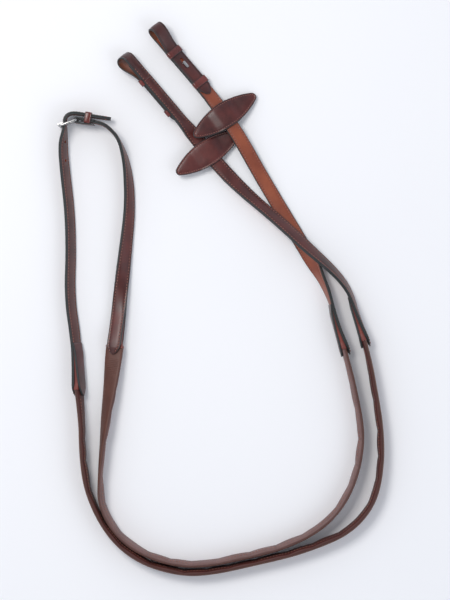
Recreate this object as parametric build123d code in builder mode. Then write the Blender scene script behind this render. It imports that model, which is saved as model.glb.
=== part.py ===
"""A pair of leather riding reins, lying flat on the ground with the hand ends buckled together.

Each rein runs from its bit end to its hand end: a flat two-ply bit strap folded into a loop for
the bit ring, a stitched grip in the middle, and a flat two-ply hand strap. The buckle rein ends
in a buckle and the point rein in a punched point that is threaded through it.

The origin is on the ground, under the middle of the outline. X is across, Y towards the bit ends
and Z up. Millimetres and degrees.
"""

import os
from math import atan2, cos, degrees, radians, sin, tan

from build123d import *

# Leather, shared by both reins
strap_width = 16.0
outer_ply = 1.85
lining_ply = 1.7
glue_gap = 0.1
seam_gap = 0.1

# Grips
grip_width = 21.0
grip_thickness = 5.6
grip_corner = 2.5
cover_wall = 1.5
cover_fold = 2.5
core_gap = 0.05

# Junctions, where a grip end is held between a strap and a backing tab
tab_length = 62.0
tab_thickness = 2.4
collar_length = 46.0
collar_flare = 1.2
point_length = 8.0
point_width = 5.0

# Bit ends: loop, hook stud billet and keepers
loop_outside_radius = 8.0
loop_closes_at = 34.0
loop_bends = [6.0, 12.0]
lining_starts = 14.4
billet_tip_at = 102.0
stud_at = 61.0
slot_length = 14.0
slot_width = 3.8
stud_radius = 1.5
stud_base_radius = 3.2
hook_length = 9.0
hook_width = 3.4
hook_thickness = 1.3
straight_bit_end = 102.4
loop_keeper_at = 39.0
tip_keeper_at = 85.0
keeper_width = 8.5
keeper_ply = 1.4
keeper_room = 0.35
tucked_ply = 0.6
tucked_reach = 5.0

# Rein stops
stop_length = 88.0
stop_width = 30.0
stop_ply = 2.1
stop_tip_radius = 4.0
stop_room = 0.3
stop_slope = 3.5

# Buckle
bar_radius = 1.5
frame_pitch = 20.7
frame_room = 0.7
frame_depth = 2.9
frame_rounding = 1.276
chape_return = 21.0
chape_room = 0.25
tongue_width = 2.6
tongue_slot = 6.0
tongue_thickness = 2.0
buckle_keeper_at = 12.5
buckle_keeper_width = 7.5
hole_radius = 1.7
hole_pitch = 22.0
hole_slot = 8.0
hole_shift = 1.3
holes_before = 2
holes_beyond = 1
eye_wall = 1.1
lining_stops_at = 5.5
frame_swing = 29.0

# Spacing of the sections that the long leather pieces are lofted through
section_pitch = 9.0

core_width = grip_width - 2 * cover_fold
core_thickness = grip_thickness - 2 * cover_wall
frame_inside = strap_width + 2 * frame_room
middle_ply = outer_ply + glue_gap / 2
under_ply = lining_ply + glue_gap / 2
billet_top = under_ply + seam_gap
billet_under = billet_top + outer_ply


class Rein:
    """A rein's middle line, and how its grain face leans from straight up to the left of travel."""

    def __init__(self, name, points, leans, short_bends, grip_starts, grip_ends, stop_at, stop_skew):
        self.name = name
        self.points = [Vector(*point) for point in points]
        self.leans = leans
        self.grip_starts = grip_starts
        self.grip_ends = grip_ends
        self.stop_at = stop_at
        self.stop_skew = stop_skew
        self.radii = self.bend_radii(short_bends)
        with BuildLine() as line:
            FilletPolyline(*self.points, radius=self.radii)
        self.path = line.wire()
        self.length = self.path.length

    def bend_radii(self, short_bends):
        """Arcs take 0.45 of the shorter run, or less where a straight stretch has to stay straight."""
        radii = []
        for index in range(1, len(self.points) - 1):
            before = self.points[index] - self.points[index - 1]
            after = self.points[index + 1] - self.points[index]
            reach = short_bends.get(index, 0.45 * min(before.length, after.length))
            radii.append(reach / tan(radians(before.get_angle(after) / 2)))
        return radii

    def lean_at(self, distance):
        for (start, first), (end, last) in zip(self.leans, self.leans[1:]):
            if distance <= end:
                share = max(0.0, (distance - start) / (end - start))
                return first + (last - first) * share
        return self.leans[-1][1]

    def across(self, distance, out=0.0, side=0.0):
        """Plane across the rein: x across the strap, y out of the grain face, z along the rein."""
        middle = self.path.position_at(distance, position_mode=PositionMode.LENGTH)
        travel = self.path.tangent_at(distance, position_mode=PositionMode.LENGTH)
        up = (Vector(0, 0, 1) - travel * travel.Z).normalized()
        left = up.cross(travel)
        lean = radians(self.lean_at(distance))
        grain = up * cos(lean) + left * sin(lean)
        side_way = grain.cross(travel)
        return Plane(origin=middle + grain * out + side_way * side, x_dir=side_way, z_dir=travel)

    def along(self, distance):
        """Plane along the rein: x along it, y out of the grain face, z to its right edge."""
        section = self.across(distance)
        return Plane(origin=section.origin, x_dir=section.z_dir, z_dir=-section.x_dir)

    def face(self, distance, out=0.0):
        """Plane flat on the strap: x across it, z out of the grain face."""
        section = self.across(distance, out)
        return Plane(origin=section.origin, x_dir=section.x_dir, z_dir=section.y_dir)


buckle_rein = Rein(
    "buckle_rein",
    points=[
        (-81.3, 314.8, 8.0), (-46.74, 274.56, 8.2), (-12.2, 234.3, 8.4), (18.0, 191.4, 12.0),
        (47.6, 138.6, 3.4), (90.5, 67.9, 2.4), (111.9, 30.7, 7.8), (125.3, 1.7, 8.8), (132.6, -28.4, 9.9),
        (142.7, -62.6, 11.6), (156.0, -115.4, 10.9), (163.1, -165.3, 10.9), (152.9, -217.5, 10.9),
        (123.5, -259.8, 10.9), (80.0, -285.7, 10.9), (25.5, -298.9, 10.9), (-26.7, -310.5, 10.9),
        (-73.1, -303.3, 10.9), (-112.5, -284.2, 10.9), (-138.9, -246.5, 10.9),
        (-142.3, -201.3, 10.9), (-136.5, -150.2, 10.9), (-130.2, -103.8, 9.6),
        (-123.8, -51.6, 8.3), (-118.3, 1.7, 6.8), (-112.2, 56.3, 6.9), (-106.8, 106.1, 8.0),
        (-109.3, 151.4, 8.8), (-118.6, 183.9, 11.4), (-131.7, 198.9, 12.2),
        (-142.7, 204.3, 12.2), (-168.2, 208.5, 12.2),
    ],
    leans=[
        (0, 202), (106, 202), (114, 190), (162, 190), (215, 184), (303, 180), (322, 170),
        (350, 118), (385, 97), (415, 91), (435, 91), (480, 97), (870, 97), (915, 101), (962, 101),
        (986, 90), (1021, 80), (1046, 66), (1081, 50), (1100, 39), (1128, 18), (1138, 15), (1152, 20),
        (1171, 20), (1193, 6), (1215, -14), (1237, -28), (1268, -42), (1305, -52), (1330, -58),
        (1368, -80), (1380, -90), (2000, -90),
    ],
    short_bends={2: 3.5, 3: 3.5, 30: 2.5},
    grip_starts=440.0,
    grip_ends=1137.0,
    stop_at=133.0,
    stop_skew=0.0,
)

point_rein = Rein(
    "point_rein",
    points=[
        (-112.5, 284.2, 16.7), (-77.99, 243.56, 12.84), (-43.5, 202.9, 9.0), (-1.7, 151.4, 6.2),
        (30.7, 119.5, 8.0), (66.7, 89.3, 12.6), (101.5, 56.8, 15.4), (133.4, 28.7, 11.4), (149.6, 6.4, 8.6),
        (157.2, -22.6, 9.9), (167.4, -57.4, 11.8), (176.9, -103.8, 10.9), (184.2, -154.9, 10.9),
        (185.0, -196.6, 10.9), (175.7, -237.2, 10.9), (146.7, -271.4, 10.9), (100.9, -290.0, 10.9),
        (44.1, -305.1, 10.9), (-7.0, -316.1, 10.9), (-48.7, -318.8, 10.9), (-95.1, -305.1, 10.9),
        (-131.7, -273.8, 10.9), (-155.4, -228.5, 10.9), (-162.2, -179.2, 10.9),
        (-163.3, -129.3, 11.0), (-167.3, -85.3, 11.6), (-169.9, -45.8, 9.2), (-177.1, 1.7, 7.8),
        (-175.3, 56.3, 7.8), (-176.9, 102.7, 7.9), (-182.1, 146.7, 9.4), (-184.7, 176.9, 11.6),
        (-181.9, 198.9, 12.2), (-182.4, 210.0, 12.2), (-175.2, 215.2, 12.2),
        (-163.6, 214.1, 12.2), (-146.2, 210.5, 12.2), (-128.8, 208.2, 12.2),
    ],
    leans=[
        (0, 46), (105, 46), (128, 5), (172, 5), (200, 28), (235, 44), (300, 42), (345, 58),
        (385, 74), (415, 84), (440, 89), (480, 97), (1100, 98), (1150, 112), (1210, 126), (1405, 122),
        (1434, 118), (1450, 96), (1456, 90), (2000, 90),
    ],
    short_bends={2: 1.5, 3: 5.0},
    grip_starts=441.0,
    grip_ends=1147.0,
    stop_at=150.0,
    stop_skew=-6.0,
)


def junction_share(distance_from_grip):
    """0 where the backing tab starts, 1 at the grip's end, easing in."""
    share = 1 - distance_from_grip / (tab_length - point_length)
    return min(1.0, max(0.0, share)) ** 1.6


def strap_lift(distance_from_grip):
    """How far the strap's middle stands off the rein's line to pass over the grip's end."""
    full = grip_thickness / 2 + seam_gap + under_ply
    return full * junction_share(distance_from_grip)


def tab_face(distance_from_grip):
    """Where the tab's inner face lies, below the rein's line."""
    first = under_ply + seam_gap
    last = grip_thickness / 2 + seam_gap
    return -(first + (last - first) * junction_share(distance_from_grip))


def pointed(distance_from_tip, width):
    """A width that narrows over the last few millimetres to a blunt point."""
    share = min(1.0, max(0.0, distance_from_tip) / point_length)
    return point_width + (width - point_width) * share


def section_marks(rein):
    """One row of distances for all lofts of a rein, so that neighbouring faces stay parallel."""
    keys = [straight_bit_end, rein.length - chape_return, rein.length - point_length, rein.length]
    for grip_end, outward in ((rein.grip_starts, -1), (rein.grip_ends, 1)):
        for reach in (-point_length, 0, point_length, collar_length, tab_length - point_length):
            keys.append(grip_end + outward * reach)
    keys.sort()
    marks = []
    for start, end in zip(keys, keys[1:]):
        count = max(1, round((end - start) / section_pitch))
        marks += [start + (end - start) * index / count for index in range(count)]
    return [*marks, rein.length]


def stations(rein, start, end):
    """The two ends of a piece and every mark between them."""
    low, high = sorted((start, end))
    return [low, *[mark for mark in rein.marks if low + 0.5 < mark < high - 0.5], high]


def leather(rein, distances, width, low, high, corner=0.0):
    """Loft one piece of leather along the rein. Width, low and high are functions of distance."""
    with BuildPart() as piece:
        for distance in distances:
            bottom = low(distance)
            top = high(distance)
            with BuildSketch(rein.across(distance, out=(bottom + top) / 2)):
                if corner:
                    RectangleRounded(width(distance), top - bottom, corner)
                else:
                    Rectangle(width(distance), top - bottom)
        loft(ruled=True)
    return piece


def finish(piece, name):
    piece.part.label = name
    export_step(piece.part, f"parts/{name}.step")


buckle_rein.marks = section_marks(buckle_rein)
point_rein.marks = section_marks(point_rein)


def make_bit_ply(rein, start, low, high):
    """One ply of a bit strap, from start to its point on the grip. Low and high are off its middle."""
    tip = rein.grip_starts + point_length
    return leather(
        rein,
        stations(rein, start, tip),
        lambda d: pointed(tip - d, strap_width),
        lambda d: strap_lift(rein.grip_starts - d) + low,
        lambda d: strap_lift(rein.grip_starts - d) + high,
    )


def make_bit_strap(rein):
    """Outer ply: the pointed junction end, the strap, the bit loop and the billet in one piece."""
    run = make_bit_ply(rein, straight_bit_end, glue_gap / 2, middle_ply)
    turn = loop_outside_radius - outer_ply / 2
    top_line = middle_ply - outer_ply / 2
    loop_line = top_line - 2 * turn
    billet_line = -(billet_top + billet_under) / 2
    with BuildPart() as piece:
        with BuildSketch(rein.along(0.0)):
            with BuildLine():
                Line((straight_bit_end, top_line), (loop_outside_radius, top_line))
                ThreePointArc(
                    (loop_outside_radius, top_line),
                    (outer_ply / 2, top_line - turn),
                    (loop_outside_radius, loop_line),
                )
                FilletPolyline(
                    (loop_outside_radius, loop_line),
                    (loop_outside_radius + 0.4 * turn, loop_line),
                    (loop_closes_at, billet_line),
                    (billet_tip_at, billet_line),
                    radius=loop_bends,
                )
            trace(line_width=outer_ply)
        extrude(amount=strap_width / 2, both=True)
        add(point_offcuts(rein, billet_tip_at, -billet_top), mode=Mode.SUBTRACT)
        slot_middle = stud_at - slot_length / 2 + slot_width / 2
        with BuildSketch(rein.face(slot_middle, out=-billet_top + seam_gap / 2)):
            SlotOverall(slot_length, slot_width, rotation=90)
        extrude(amount=-outer_ply - seam_gap, mode=Mode.SUBTRACT)
        add(run.part)
    return piece


def point_offcuts(rein, tip, out):
    """The two corners that are trimmed off the billet to point it. Its end is at tip."""
    half = strap_width / 2
    with BuildPart() as corners:
        with BuildSketch(rein.face(tip, out=out + seam_gap / 2)):
            for side in (-1, 1):
                with BuildLine():
                    Polyline(
                        (side * (half + 1), point_length),
                        (side * half, point_length),
                        (side * point_width / 2, 0),
                        (side * point_width / 2, -1),
                        (side * (half + 1), -1),
                        close=True,
                    )
                make_face()
        extrude(amount=-outer_ply - seam_gap)
    return corners.part


def make_bit_lining(rein):
    """Lining ply, hollowed where the keepers' ends and the stud's base lie between the plies."""
    run = make_bit_ply(rein, lining_starts, -under_ply, -glue_gap / 2)
    hollow = tucked_ply + seam_gap / 2
    with BuildPart() as piece:
        add(run.part)
        for keeper_at in (loop_keeper_at, tip_keeper_at):
            with BuildSketch(rein.face(keeper_at, out=glue_gap)):
                Rectangle(strap_width + 1, keeper_width + 2 * seam_gap)
            extrude(amount=-glue_gap - glue_gap / 2 - hollow, mode=Mode.SUBTRACT)
        with BuildSketch(rein.face(stud_at, out=glue_gap)):
            Circle(stud_base_radius + seam_gap)
        extrude(amount=-glue_gap - glue_gap / 2 - hollow, mode=Mode.SUBTRACT)
        with BuildSketch(rein.face(stud_at)):
            Circle(stud_radius + glue_gap)
        extrude(amount=-lining_ply - 1, mode=Mode.SUBTRACT)
    return piece


def make_hook_stud(rein):
    """Base disc between the plies, a post through lining and billet, and the hook on its end."""
    base_top = -glue_gap / 2
    hook_base = billet_under + seam_gap
    hook_middle = stud_at - hook_length / 2 + hook_width / 2
    with BuildPart() as piece:
        with BuildSketch(rein.face(stud_at, out=base_top)):
            Circle(stud_base_radius)
        extrude(amount=-tucked_ply)
        with BuildSketch(rein.face(stud_at, out=base_top)):
            Circle(stud_radius)
        extrude(amount=base_top - hook_base - hook_thickness / 2)
        with BuildSketch(rein.face(hook_middle, out=-hook_base)):
            SlotOverall(hook_length, hook_width, rotation=90)
        extrude(amount=-hook_thickness)
    return piece


def make_keeper(rein, middle):
    """A band round the billet. Its thin ends are tucked between the strap's plies and sewn in."""
    inside_width = strap_width + 2 * keeper_room
    high = -glue_gap / 2
    low = -billet_under - keeper_room - keeper_ply
    opening = high - tucked_ply - low - keeper_ply
    with BuildPart() as piece:
        with BuildSketch(rein.across(middle - keeper_width / 2, out=low)):
            with Locations((0, (high - low) / 2)):
                RectangleRounded(inside_width + 2 * keeper_ply, high - low, keeper_ply)
            with Locations((0, keeper_ply + opening / 2)):
                Rectangle(inside_width, opening, mode=Mode.SUBTRACT)
            with Locations((0, high - low)):
                Rectangle(strap_width - 2 * tucked_reach, 3 * tucked_ply, mode=Mode.SUBTRACT)
        extrude(amount=keeper_width)
    return piece


def make_band(rein, middle, low, high, width):
    """A leather ring round two straps. Low and high are where its opening ends, off the grain face."""
    inside_width = strap_width + 2 * keeper_room
    height = high - low
    with BuildPart() as piece:
        with BuildSketch(rein.across(middle - width / 2, out=(low + high) / 2)):
            RectangleRounded(inside_width + 2 * keeper_ply, height + 2 * keeper_ply, keeper_ply)
            Rectangle(inside_width, height, mode=Mode.SUBTRACT)
        extrude(amount=width)
    return piece


def make_stop_leaf(rein, facing):
    """One almond-shaped leaf. It rises over the strap, so that the pair can slide along it."""
    channel = strap_width / 2 + stop_room
    rise = middle_ply + stop_room
    flat = seam_gap / 2
    shoulder = 0.4 * stop_ply
    section = [
        (-stop_length, flat),
        (-channel - stop_slope, flat),
        (-channel, rise),
        (channel, rise),
        (channel + stop_slope, flat),
        (stop_length, flat),
        (stop_length, flat + stop_ply),
        (channel + stop_slope + shoulder, flat + stop_ply),
        (channel + shoulder, rise + stop_ply),
        (-channel - shoulder, rise + stop_ply),
        (-channel - stop_slope - shoulder, flat + stop_ply),
        (-stop_length, flat + stop_ply),
    ]
    half = stop_length / 2
    with BuildPart() as piece:
        with BuildSketch(rein.across(rein.stop_at)):
            with BuildLine():
                Polyline(*[(x, y * facing) for x, y in section], close=True)
            make_face()
        extrude(amount=stop_width, both=True)
        with BuildSketch(rein.face(rein.stop_at).rotated((0, 0, rein.stop_skew))):
            with BuildLine() as edge:
                ThreePointArc((-half, 0), (0, stop_width / 2), (half, 0))
                ThreePointArc((half, 0), (0, -stop_width / 2), (-half, 0))
            make_face()
            fillet(edge.vertices(), stop_tip_radius)
        extrude(amount=stop_width, both=True, mode=Mode.INTERSECT)
    return piece


def make_tab(rein, grip_end, outward):
    """Backing tab under the strap. Outward is 1 or -1, the way from the grip to the tab's foot."""
    tip = grip_end - outward * point_length
    return leather(
        rein,
        stations(rein, tip, tip + outward * tab_length),
        lambda d: pointed(abs(d - tip), strap_width),
        lambda d: tab_face(abs(d - grip_end) if abs(d - tip) > point_length else 0) - tab_thickness,
        lambda d: tab_face(abs(d - grip_end) if abs(d - tip) > point_length else 0),
    )


def make_collar(rein, grip_end, outward):
    """Wedge of leather between strap and tab. It flares to a rim that the grip butts against."""
    rim = grip_width + collar_flare

    def width(distance):
        share = max(0.0, 1 - abs(distance - grip_end) / point_length)
        return strap_width + (rim - strap_width) * share

    return leather(
        rein,
        stations(rein, grip_end + outward * seam_gap, grip_end + outward * collar_length),
        width,
        lambda d: tab_face(abs(d - grip_end)) + seam_gap,
        lambda d: strap_lift(abs(d - grip_end)) - under_ply - seam_gap,
    )


def make_grip_core(rein):
    return leather(
        rein,
        stations(rein, rein.grip_starts, rein.grip_ends),
        lambda d: core_width,
        lambda d: -core_thickness / 2,
        lambda d: core_thickness / 2,
    )


def make_grip_cover(rein):
    """The cover is a soft tube of leather, folded round the core and stitched along one edge."""
    span = stations(rein, rein.grip_starts, rein.grip_ends)
    room = core_thickness / 2 + core_gap
    outside = leather(
        rein,
        span,
        lambda d: grip_width,
        lambda d: -grip_thickness / 2,
        lambda d: grip_thickness / 2,
        corner=grip_corner,
    )
    inside = leather(
        rein,
        [rein.grip_starts - 1, *span, rein.grip_ends + 1],
        lambda d: core_width + 2 * core_gap,
        lambda d: -room,
        lambda d: room,
    )
    with BuildPart() as piece:
        add(outside.part)
        add(inside.part, mode=Mode.SUBTRACT)
    return piece


def make_hand_ply(rein, end, low, high, far_point=None):
    """One ply of a hand strap, from its point on the grip to end. Low and high are off its middle."""
    tip = rein.grip_ends - point_length
    return leather(
        rein,
        stations(rein, tip, end),
        lambda d: min(
            pointed(d - tip, strap_width),
            pointed(far_point - d, strap_width) if far_point else strap_width,
        ),
        lambda d: strap_lift(d - rein.grip_ends) + low,
        lambda d: strap_lift(d - rein.grip_ends) + high,
    )


def make_buckle_strap():
    """Outer ply of the buckle rein's hand strap. Its end folds round the heel bar as the chape."""
    rein = buckle_rein
    run = make_hand_ply(rein, rein.length - chape_return, glue_gap / 2, middle_ply)
    end = rein.along(rein.length)
    flipped = Plane(origin=end.origin, x_dir=-end.x_dir, z_dir=-end.z_dir)
    turn = bar_radius + chape_room + outer_ply / 2
    top_line = middle_ply - outer_ply / 2
    with BuildPart() as piece:
        with BuildSketch(flipped):
            with BuildLine():
                FilletPolyline(
                    (chape_return, top_line),
                    (-turn, top_line),
                    (-turn, top_line - 2 * turn),
                    (chape_return, top_line - 2 * turn),
                    radius=0.99 * turn,
                )
            trace(line_width=outer_ply)
        extrude(amount=strap_width / 2, both=True)
        with BuildSketch(rein.face(rein.length)):
            Rectangle(tongue_slot, 2 * (turn + outer_ply))
        extrude(amount=strap_width, both=True, mode=Mode.SUBTRACT)
        add(run.part)
    return piece


def heel_bar_axis():
    """Where the buckle's heel bar stands in the fold of the chape."""
    end = buckle_rein.across(buckle_rein.length)
    return end.origin + end.y_dir * (middle_ply - outer_ply - chape_room - bar_radius)


def frame_plane():
    """Upright plane of the buckle frame: x from the heel bar to the end bar, y up."""
    way = buckle_rein.across(buckle_rein.length).z_dir.rotate(Axis.Z, frame_swing)
    middle = heel_bar_axis() + way * (frame_pitch / 2)
    return Plane(origin=middle, x_dir=way, z_dir=way.cross(Vector(0, 0, 1)))


def make_buckle_frame():
    """Cast rectangular ring. The heel bar in the chape and the end bar opposite are rounded."""
    outside_height = frame_inside + 4 * bar_radius
    outside_length = frame_pitch + 2 * bar_radius
    with BuildPart() as piece:
        with BuildSketch(frame_plane()):
            RectangleRounded(outside_length, outside_height, 4.0)
            RectangleRounded(frame_pitch - 2 * bar_radius, frame_inside, 1.0, mode=Mode.SUBTRACT)
        extrude(amount=frame_depth / 2, both=True)
        rims = piece.edges().filter_by(lambda edge: edge.length > 2 * frame_depth)
        fillet(rims, frame_rounding)
    return piece


def tongue_way():
    """The tongue slants forward, so that its tip lies on the front of the end bar."""
    rest = bar_radius + tongue_thickness / 2 + seam_gap
    slant = atan2(rest, frame_pitch)
    return frame_plane().x_dir.rotate(Axis.Z, -degrees(slant))


def make_buckle_tongue():
    """A pin with an eye round the heel bar. It runs through the point strap to the end bar."""
    way = tongue_way()
    plane = Plane(origin=heel_bar_axis(), x_dir=way, z_dir=(0, 0, 1))
    reach = frame_pitch + 2 * bar_radius
    eye_inside = bar_radius + chape_room
    with BuildPart() as piece:
        with BuildSketch(plane):
            Circle(eye_inside + eye_wall)
            with BuildLine():
                Polyline(
                    (eye_inside, tongue_thickness / 2),
                    (reach - 1, tongue_thickness / 2),
                    (reach, 0),
                    (reach - 1, -tongue_thickness / 2),
                    (eye_inside, -tongue_thickness / 2),
                    close=True,
                )
            make_face()
            Circle(eye_inside, mode=Mode.SUBTRACT)
        extrude(amount=tongue_width / 2, both=True)
    return piece


def tongue_crossing():
    """Distance along the point rein at which the tongue runs through it."""
    start = heel_bar_axis()
    way = tongue_way()
    rein = point_rein
    best = None
    for step in range(int(4 * frame_pitch), int(4 * 4 * frame_pitch)):
        distance = rein.length - step / 4
        point = rein.path.position_at(distance, position_mode=PositionMode.LENGTH)
        away = point - start
        miss = away.cross(way).length
        if away.dot(way) > 0 and (best is None or miss < best[0]):
            best = (miss, distance)
    return best[1]


def make_point_ply(low, high):
    """One ply of the point rein's hand strap, with the row of holes for the tongue."""
    rein = point_rein
    run = make_hand_ply(rein, rein.length, low, high, far_point=rein.length)
    used = tongue_crossing()
    with BuildPart() as piece:
        add(run.part)
        for row in range(-holes_before, holes_beyond + 1):
            with BuildSketch(rein.face(used + row * hole_pitch)):
                if row == 0:
                    with Locations((0, -hole_shift)):
                        SlotOverall(hole_slot, 2 * hole_radius, rotation=90)
                else:
                    Circle(hole_radius)
            extrude(amount=strap_width / 4, both=True, mode=Mode.SUBTRACT)
    return piece


def make_buckle_keeper():
    """Keeper sewn round the buckle strap. Both straps pass through it."""
    at = buckle_rein.length - buckle_keeper_at
    section = buckle_rein.across(at)
    reach = 0.0
    for step in range(int(4 * frame_pitch)):
        distance = point_rein.length - step / 2
        point = point_rein.path.position_at(distance, position_mode=PositionMode.LENGTH)
        away = point - section.origin
        if abs(away.dot(section.z_dir)) < buckle_keeper_width / 2:
            reach = max(reach, away.dot(section.y_dir))
    return make_band(
        buckle_rein, at, -under_ply - seam_gap, reach + middle_ply + keeper_room, buckle_keeper_width
    )


os.makedirs("parts", exist_ok=True)

for rein in (buckle_rein, point_rein):
    pieces = {
        "bit_strap": make_bit_strap(rein),
        "bit_lining": make_bit_lining(rein),
        "hook_stud": make_hook_stud(rein),
        "loop_keeper": make_keeper(rein, loop_keeper_at),
        "tip_keeper": make_keeper(rein, tip_keeper_at),
        "stop_grain_leaf": make_stop_leaf(rein, 1),
        "stop_flesh_leaf": make_stop_leaf(rein, -1),
        "bit_tab": make_tab(rein, rein.grip_starts, -1),
        "bit_collar": make_collar(rein, rein.grip_starts, -1),
        "grip_core": make_grip_core(rein),
        "grip_cover": make_grip_cover(rein),
        "hand_collar": make_collar(rein, rein.grip_ends, 1),
        "hand_tab": make_tab(rein, rein.grip_ends, 1),
    }
    for piece_name, piece in pieces.items():
        finish(piece, f"{rein.name}_{piece_name}")
    radii = ", ".join(f"{radius:.0f}" for radius in rein.radii)
    print(f"{rein.name}: {rein.length:.0f} long, bend radii {radii}")

finish(make_buckle_strap(), "buckle_rein_hand_strap")
finish(
    make_hand_ply(buckle_rein, buckle_rein.length - lining_stops_at, -under_ply, -glue_gap / 2),
    "buckle_rein_hand_lining",
)
finish(make_point_ply(glue_gap / 2, middle_ply), "point_rein_hand_strap")
finish(make_point_ply(-under_ply, -glue_gap / 2), "point_rein_hand_lining")
finish(make_buckle_frame(), "buckle_frame")
finish(make_buckle_tongue(), "buckle_tongue")
finish(make_buckle_keeper(), "buckle_keeper")
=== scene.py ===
from math import cos, hypot, pi, radians, sin, sqrt

import bmesh
import bpy
import numpy as np
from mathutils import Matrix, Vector


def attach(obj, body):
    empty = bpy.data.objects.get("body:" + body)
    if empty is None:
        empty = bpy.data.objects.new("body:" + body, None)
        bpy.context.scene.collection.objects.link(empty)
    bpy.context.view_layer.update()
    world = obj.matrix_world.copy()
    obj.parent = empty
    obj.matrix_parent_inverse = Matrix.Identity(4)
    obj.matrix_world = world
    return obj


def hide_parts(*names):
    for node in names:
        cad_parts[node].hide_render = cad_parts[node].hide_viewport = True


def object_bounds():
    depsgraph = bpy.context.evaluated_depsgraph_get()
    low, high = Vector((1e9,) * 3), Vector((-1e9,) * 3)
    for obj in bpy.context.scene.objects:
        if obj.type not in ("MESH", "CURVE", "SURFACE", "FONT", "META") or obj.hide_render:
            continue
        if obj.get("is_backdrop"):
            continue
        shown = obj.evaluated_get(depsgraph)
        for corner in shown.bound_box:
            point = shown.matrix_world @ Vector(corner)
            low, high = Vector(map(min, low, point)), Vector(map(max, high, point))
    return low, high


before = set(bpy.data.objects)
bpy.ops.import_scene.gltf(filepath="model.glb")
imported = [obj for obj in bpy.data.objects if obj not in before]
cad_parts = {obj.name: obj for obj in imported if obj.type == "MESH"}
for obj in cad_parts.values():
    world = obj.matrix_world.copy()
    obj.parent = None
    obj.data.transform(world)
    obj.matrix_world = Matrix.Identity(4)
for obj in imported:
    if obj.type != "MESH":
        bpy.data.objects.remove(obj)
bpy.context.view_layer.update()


# The camera hangs straight above the coil of leather. It stands far off with a long lens, so that
# upright edges hardly lean outwards.

camera_height = 3.0
picture_height = 0.696
strap_level = 0.012


def in_scene(name, data):
    """An object for a mesh, a lamp or a camera, linked to the scene."""
    made = bpy.data.objects.new(name, data)
    bpy.context.scene.collection.objects.link(made)
    return made


camera = in_scene("camera", bpy.data.cameras.new("camera"))
camera.location = (0.0035, -0.0017, camera_height)
camera.data.sensor_width = 36.0
camera.data.lens = camera.data.sensor_width * (camera_height - strap_level) / picture_height
bpy.context.scene.camera = camera


# The lie of the two reins. Each is a strap about a metre and a half long that leaves its bit end,
# runs round the coil, partly flat and partly on its edge, and meets the other rein at the buckle.

same_place = 1e-6
twist_ease = 0.006


class Rein:
    """A rein's line on the floor, and how its grain leans from upright to the left of travel."""

    def __init__(self, name, length, grip_starts, grip_ends, stop_at, points, leans):
        self.name = name
        self.length = length
        self.grip_starts = grip_starts
        self.grip_ends = grip_ends
        self.stop_at = stop_at
        self.leans = np.array(leans)
        curve = bpy.data.curves.new(name + "_line", "CURVE")
        curve.dimensions = "3D"
        spline = curve.splines.new("NURBS")
        spline.points.add(len(points) - 1)
        for point, place in zip(spline.points, points):
            point.co = (*place, 1.0)
        spline.order_u = 3
        spline.use_endpoint_u = True
        spline.resolution_u = 24
        holder = bpy.data.objects.new(name + "_line", curve)
        mesh = bpy.data.meshes.new_from_object(holder)
        line = np.array([vertex.co[:] for vertex in mesh.vertices])
        bpy.data.objects.remove(holder)
        bpy.data.meshes.remove(mesh)
        steps = np.linalg.norm(np.diff(line, axis=0), axis=1)
        line = line[np.concatenate([[True], steps > same_place])]
        steps = steps[steps > same_place]
        run = np.concatenate([[0.0], np.cumsum(steps)])
        self.line = line
        self.run = run * length / run[-1]
        self.way = np.gradient(line, self.run, axis=0)

    def lean(self, distance):
        """The lean in degrees, eased over a centimetre so that the twist has no kinks."""
        nearby = distance + twist_ease * np.array([-1.0, -0.5, 0.0, 0.5, 1.0])
        return np.interp(nearby, self.leans[:, 0], self.leans[:, 1]).mean()

    def place(self, distance):
        """Middle of the strap, direction of travel, direction across and direction of the grain."""
        middle = np.array([np.interp(distance, self.run, self.line[:, axis]) for axis in range(3)])
        travel = np.array([np.interp(distance, self.run, self.way[:, axis]) for axis in range(3)])
        travel /= np.linalg.norm(travel)
        up = np.array([0.0, 0.0, 1.0]) - travel * travel[2]
        up /= np.linalg.norm(up)
        left = np.cross(up, travel)
        lean = radians(self.lean(distance))
        grain = up * cos(lean) + left * sin(lean)
        return middle, travel, np.cross(grain, travel), grain

    def trace(self, start, end, step=0.004):
        """Points along the middle of the strap."""
        count = max(2, round((end - start) / step))
        return [self.place(d)[0] for d in np.linspace(start, end, count + 1)]


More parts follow.
